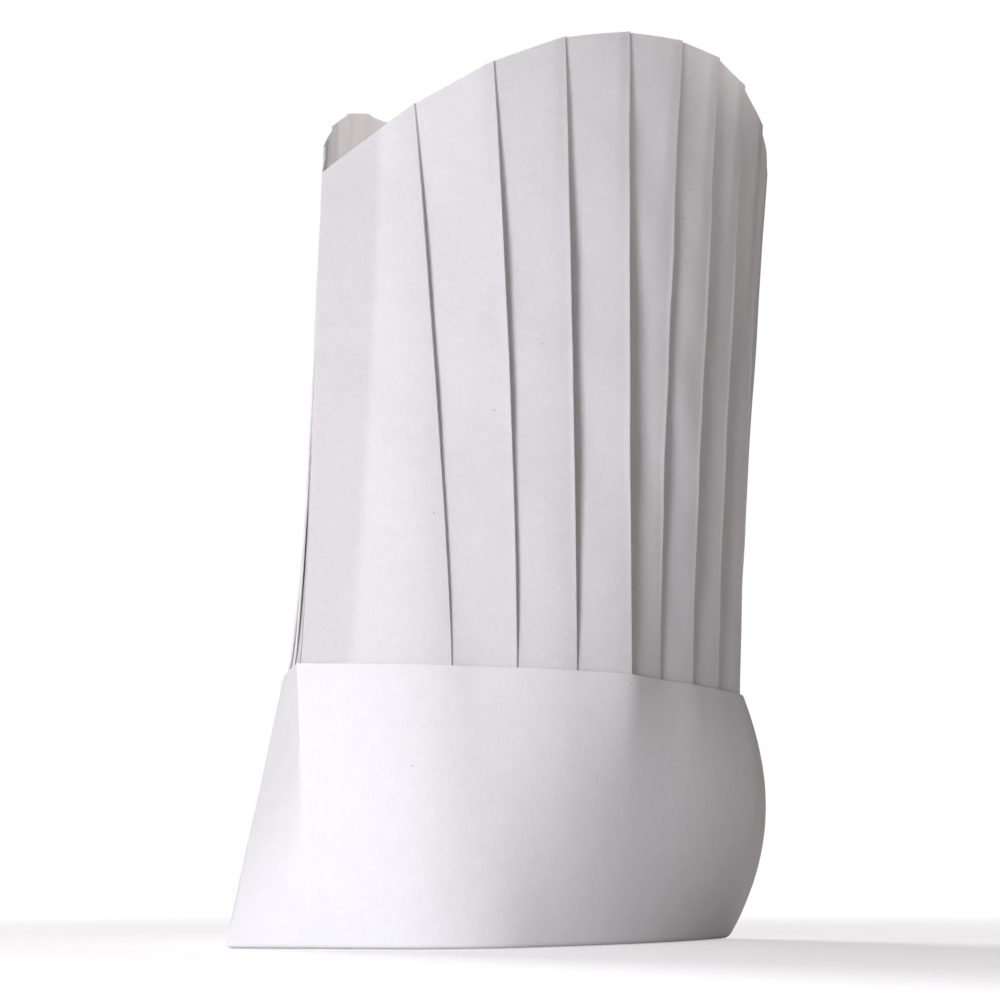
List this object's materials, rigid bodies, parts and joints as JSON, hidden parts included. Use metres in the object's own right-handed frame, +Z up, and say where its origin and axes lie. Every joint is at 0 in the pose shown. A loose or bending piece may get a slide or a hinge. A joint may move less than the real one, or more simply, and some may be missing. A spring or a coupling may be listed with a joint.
{
  "type": "chef hat",
  "caption": "Tall white pleated chef hat with a deep folded cuff, knife pleats, a dome-cut open top and a plain bordered label inside the cuff.",
  "frame": {"origin": "middle of the bounding box, on the surface that the hat stands on", "axes": "+Z up from the rim to the open top, -Y out of the plain front panel, +X to the right of a viewer who faces that panel"},
  "size_m": [0.2, 0.2214, 0.3285],
  "materials": {
    "crown_paper": "matt white viscose nonwoven, like soft heavy paper, with a fine random fibre texture",
    "cuff_paper": "matt white viscose nonwoven, a little heavier and smoother than the crown's",
    "label_print": "thin coated paper label, satin, pale panel with a fine blue and red border and a plain blue field"
  },
  "bodies": {
    "root": {"crown": "crown_paper", "cuff": "cuff_paper", "band_lap": "cuff_paper", "label": "label_print"}
  },
  "joints": []
}
